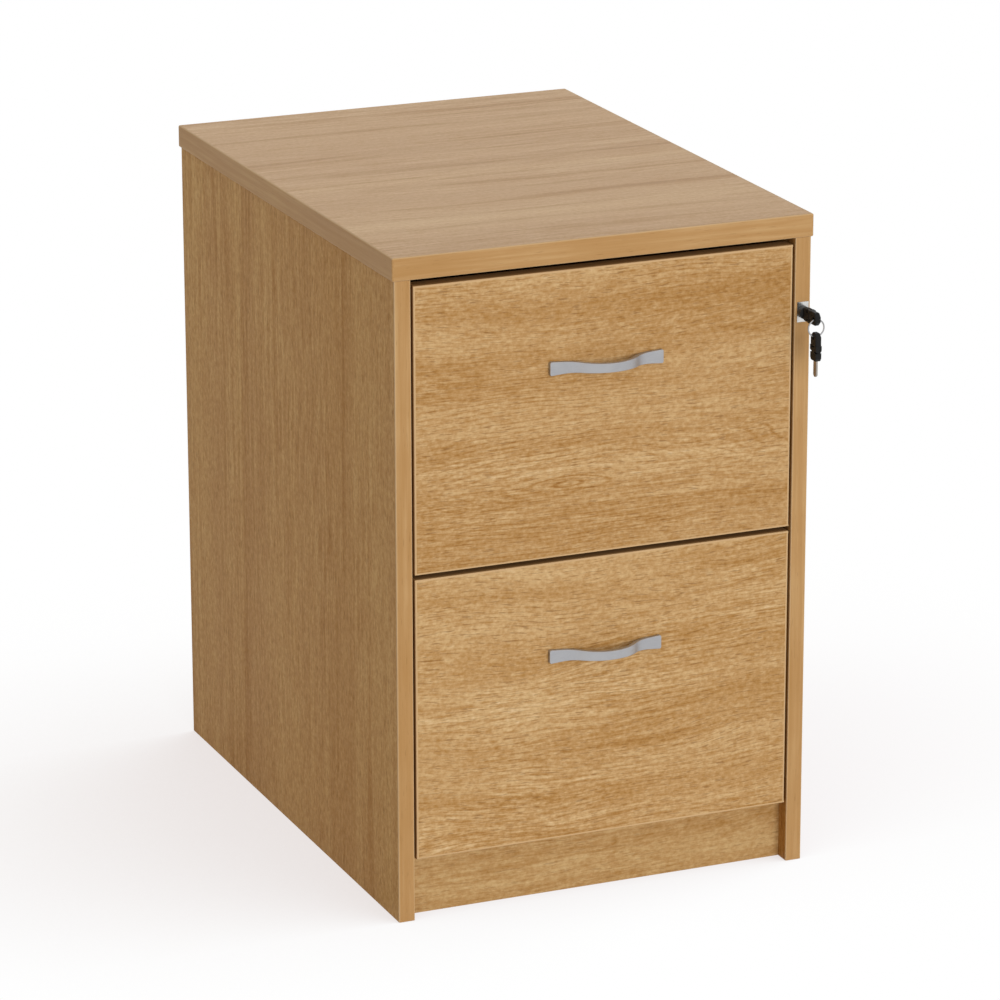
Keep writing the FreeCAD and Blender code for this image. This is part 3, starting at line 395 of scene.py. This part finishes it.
def moulded(name, main, worn, roughness, pitch=1500.0, gloss=0.5):
    """Moulded plastic or powder coat with a fine even texture and slight scuffs."""
    tree = material_tree(name)
    place = tree.place()
    skin = tree.noise(place, even(pitch))
    scuff = tree.smooth(tree.noise(place, *SCUFFS), *SCUFF_EDGE)
    colour = tree.blend(tree.math("MULTIPLY", scuff, SCUFF_SHARE), main, worn)
    clean = tree.remap(skin, *NOISE_RANGE, *roughness)
    rough = tree.math("MULTIPLY_ADD", scuff, SCUFF_ROUGHNESS, clean)
    return tree.surface(colour, rough, tree.bump(skin, SKIN_BUMP, RELIEF), Specular_IOR_Level=gloss)


def dowel_wood(name):
    """Pale wood with a short even fibre."""
    tree = material_tree(name)
    fibre = tree.noise(tree.place(), *DOWEL_FIBRES)
    rough = tree.remap(fibre, *NOISE_RANGE, *DOWEL_ROUGHNESS)
    return tree.surface(tree.ramp(fibre, DOWEL_TONES), rough, tree.bump(fibre, DOWEL_BUMP, RELIEF))


def paint(node, material):
    """Puts the material on a CAD node's slot."""
    slots = nodes[node].data.materials
    if slots:
        slots[0] = material
    else:
        slots.append(material)


# The boards, each with its own stretch of the oak pattern. A heart's height is counted from the lower edge
# of the drawer front that it is on.

UPPER_TINT = (1.03, 1.06, 1.08, 1.0)
# Painted light: the lower front is made lighter than the upper one, to make up for the shade the floor casts
# on it.
LOWER_PAINTED_LIGHT = (1.07, 1.12, 1.16, 1.0)
# Partly painted shade, partly own colour: the plinth is made darker, for the shade under the drawer fronts,
# and a little more olive.
PLINTH_SHADE_AND_HUE = (0.95, 0.98, 0.95, 1.0)
# Painted light and painted reflection: the top gets a paler, greyer copy of the oak, for the light it
# catches from above and the pale room it mirrors.
TOP_PAINTED_LIGHT = (1.3, 1.4, 1.6, 1.0)
# Painted shade: the side and back boards get a yellower, slightly darker copy of the oak, for how the sides
# look in shade.
SIDE_PAINTED_SHADE = (1.04, 0.97, 0.75, 1.0)
UPPER_HEART_X, UPPER_HEART_HEIGHT = -0.042, 0.078
LOWER_HEART_X, LOWER_HEART_HEIGHT = 0.24, 0.12
UPRIGHTS = (("left_side", "Y", 0.19), ("right_side", "Y", 0.83), ("back_panel", "X", 0.44))
DRAWER_BOARDS = (("left_side", "Y", "Z"), ("right_side", "Y", "Z"), ("back", "X", "Z"), ("base", "Y", "X"))
DRAWER_SEEDS = {"upper": 0.6, "lower": 1.1}
BOARD_SEED_STEP = 0.07

upper_heart = (UPPER_HEART_X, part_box("upper_front")[0].z + UPPER_HEART_HEIGHT)
lower_heart = (LOWER_HEART_X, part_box("lower_front")[0].z + LOWER_HEART_HEIGHT)
paint("upper_front", oak("oak_upper_front", "X", "Z", 0.11, heart=upper_heart, close=0.2,
                         contrast=0.86, lines=0.2, tint=UPPER_TINT))
paint("lower_front", oak("oak_lower_front", "X", "Z", 0.37, heart=lower_heart, sway=0.075,
                         contrast=0.96, lines=0.1, tint=LOWER_PAINTED_LIGHT))
paint("plinth", oak("oak_plinth", "X", "Z", 0.53, contrast=0.75, mottle=0.6, pores=0.3, tint=PLINTH_SHADE_AND_HUE))
paint("top_panel", oak("oak_top", "X", "Y", 0.71, (2.6, 2.0), sway=0.03, wobble=0.01, contrast=0.55,
                       mottle=0.35, lines=0.12, veins=0.24, pores=0.15, tint=TOP_PAINTED_LIGHT, gloss=0.5))
for upright, across, seed in UPRIGHTS:
    paint(upright, oak("oak_" + upright, "Z", across, seed, (2.6, 2.2), sway=0.01, contrast=0.6, mottle=0.6,
                       waves=0.7, lines=0.1, veins=0.2, bands=0.1, tint=SIDE_PAINTED_SHADE, gloss=0.06))
paint("base_panel", oak("oak_base", "X", "Y", 0.29))

for drawer in DRAWERS:
    for number, (piece, along, across) in enumerate(DRAWER_BOARDS):
        node = f"{drawer}_drawer_{piece}"
        seed = DRAWER_SEEDS[drawer] + BOARD_SEED_STEP * number
        paint(node, oak("oak_" + node, along, across, seed, contrast=0.8))


# The edging strips, which are as thick as EDGE.

EDGE = 0.002
top_low, top_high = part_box("top_edging")
side_low, side_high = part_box("right_side")
strip_low, strip_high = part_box("upper_front_edging")
paint("top_edging", edging("oak_top_edging", "X", (("Z", top_low.z), ("Z", top_high.z)),
                           "X", top_high.x - EDGE, "Y"))
paint("side_edging", edging("oak_side_edging", "Z", (("X", side_low.x), ("X", side_high.x))))
front_edging = edging("oak_front_edging", "X", (("Y", -strip_low.y),),
                      "X", strip_high.x - EDGE, "Z", strip_low.y)
for drawer in DRAWERS:
    paint(f"{drawer}_front_edging", front_edging)


# The metal, plastic and dowel pieces.

zinc = metal("zinc_plate", linear(190, 192, 195), linear(168, 170, 173), (0.3, 0.42), "Y")
cage_metal = metal("ball_cage_steel", linear(172, 170, 166), linear(120, 118, 114), (0.2, 0.35))
fastener = metal("zinc_fastener", linear(190, 191, 190), linear(140, 140, 138), (0.3, 0.45))
handle_metal = metal("satin_handle", linear(184, 184, 186), linear(174, 174, 177), (0.44, 0.52), "X", 0.04)
nickel = metal("nickel_lock_face", linear(222, 221, 218), linear(196, 195, 192), (0.18, 0.28), "Z", 0.05)
plug_coat = moulded("dark_lock_plug", linear(50, 49, 48), linear(66, 65, 63), (0.3, 0.42), gloss=0.4)
key_metal = metal("key_steel", linear(186, 178, 170), linear(158, 150, 142), (0.45, 0.55))
pin_metal = metal("black_key_pin", linear(48, 47, 46), linear(34, 33, 32), (0.3, 0.45))
ring_metal = metal("ring_steel", linear(188, 188, 189), linear(166, 166, 168), (0.25, 0.35))
key_plastic = moulded("black_key_plastic", linear(21, 20, 19), linear(34, 33, 32), (0.42, 0.55), gloss=0.2)
rail_coat = moulded("black_rail_coat", linear(34, 34, 36), linear(70, 70, 70), (0.4, 0.55), pitch=900.0)
nylon = moulded("guide_nylon", linear(214, 212, 205), linear(190, 188, 180), (0.4, 0.55))
beech = dowel_wood("beech_dowel")

for drawer in DRAWERS:
    for part in ("runner_outers", "runner_middles", "runner_inners", "lock_catch"):
        paint(f"{drawer}_{part}", zinc)
    for part in ("outer_ball_cages", "inner_ball_cages"):
        paint(f"{drawer}_{part}", cage_metal)
    for part in ("drawer_cams", "drawer_screws", "handle_screws"):
        paint(f"{drawer}_{part}", fastener)
    paint(f"{drawer}_handle", handle_metal)
    paint(f"{drawer}_file_rails", rail_coat)
for part in ("carcass_cams", "runner_screws", "lock_bar_pins", "lock_crank"):
    paint(part, fastener)
paint("lock_bar", zinc)
paint("lock_bar_guides", nylon)
paint("carcass_dowels", beech)
paint("lock_housing", nickel)
paint("lock_plug", plug_coat)
paint("key_ring", ring_metal)
for key in ("key", "spare_key"):
    paint(f"{key}_blade", key_metal)
    paint(f"{key}_pin", pin_metal)
    paint(f"{key}_holder", key_plastic)
    paint(f"{key}_bow", key_plastic)


# Floor: white to the camera, with soft shadows to the left and right, where the part hides the other side of
# the room from it, and a plain pale surface to everything else. It lies just below the feet.

FLOOR_SIZE = 60.0
FLOOR_DROP = 0.0005
FLOOR_COLOUR = (0.8, 0.8, 0.8, 1.0)
LEFT_SHADOW = (0.79, 0.73, 0.71, 1.0)
RIGHT_SHADOW = (0.9, 0.86, 0.86, 1.0)
SHADOW_SLOPE = 0.6
SHADOW_LEAN = -0.3
SHADOW_REACH = 1.0
SHADOW_DEEP, SHADOW_END = 0.25, 0.82


def floor_material():
    tree = material_tree("pale_floor")
    plain = tree.node("BsdfDiffuse", {"Color": FLOOR_COLOUR}).outputs[0]
    colour = WHITE
    for side, shadow in ((1.0, LEFT_SHADOW), (-1.0, RIGHT_SHADOW)):
        facing = tree.join(side, SHADOW_LEAN, SHADOW_SLOPE)
        room = tree.node("AmbientOcclusion", {"Distance": SHADOW_REACH, "Normal": facing}).outputs["AO"]
        light = tree.remap(room, SHADOW_DEEP, SHADOW_END)
        colour = tree.blend(1.0, colour, tree.blend(light, shadow, WHITE), "MULTIPLY")
    white = tree.node("Emission", {"Color": colour}).outputs[0]
    both = tree.node("MixShader", {0: tree.seen(), 1: plain, 2: white}).outputs[0]
    tree.node("OutputMaterial", {"Surface": both})
    return tree.owner


def make_floor():
    half = FLOOR_SIZE / 2
    corners = [(-half, -half, 0), (half, -half, 0), (half, half, 0), (-half, half, 0)]
    mesh = bpy.data.meshes.new("floor")
    mesh.from_pydata(corners, [], [(0, 1, 2, 3)])
    mesh.materials.append(floor_material())
    floor = bpy.data.objects.new("floor", mesh)
    floor.location.z = -FLOOR_DROP
    bpy.context.scene.collection.objects.link(floor)


# Light: an even pale room, and one wide soft lamp low in front, which metal and gloss don't mirror.

ROOM = 0.52
LAMP_FROM = Vector((0.1, -0.985, 0.13))
LAMP_DISTANCE = 4.0
LAMP_WIDTH = 0.6
LAMP_POWER = 1.9


def make_room():
    world = bpy.data.worlds.new("pale_room")
    bpy.context.scene.world = world
    tree = Tree(world)
    level = tree.between(tree.seen(), ROOM, 1.0)
    background = tree.node("Background", {"Color": WHITE, "Strength": level}).outputs[0]
    tree.node("OutputWorld", {"Surface": background})


def make_lamp():
    lamp = bpy.data.lights.new("soft_lamp", "SUN")
    lamp.energy = LAMP_POWER
    lamp.angle = LAMP_WIDTH
    holder = bpy.data.objects.new("soft_lamp", lamp)
    holder.location = LAMP_FROM * LAMP_DISTANCE
    holder.rotation_euler = LAMP_FROM.to_track_quat("Z", "Y").to_euler()
    holder.visible_glossy = False
    bpy.context.scene.collection.objects.link(holder)


# Camera: a long lens to the left of the cabinet, looking down on it. Its angles are in degrees: the tilt up
# from straight down, a slight roll, and the turn to the right.

CAMERA_PLACE = (-2.06308, -4.90063, 2.01819)
CAMERA_TILT, CAMERA_ROLL, CAMERA_TURN = 72.61919, 0.09104, 22.95354
CAMERA_LENS = 179.88
CAMERA_SENSOR = 36.0
CAMERA_FAR = 100.0


def make_camera():
    camera = bpy.data.cameras.new("camera")
    camera.sensor_width = CAMERA_SENSOR
    camera.lens = CAMERA_LENS
    camera.clip_end = CAMERA_FAR
    holder = bpy.data.objects.new("camera", camera)
    holder.location = CAMERA_PLACE
    holder.rotation_euler = (radians(CAMERA_TILT), radians(CAMERA_ROLL), radians(-CAMERA_TURN))
    bpy.context.scene.collection.objects.link(holder)
    bpy.context.scene.camera = holder


make_floor()
make_room()
make_lamp()
make_camera()
bpy.context.scene.view_settings.view_transform = "Standard"
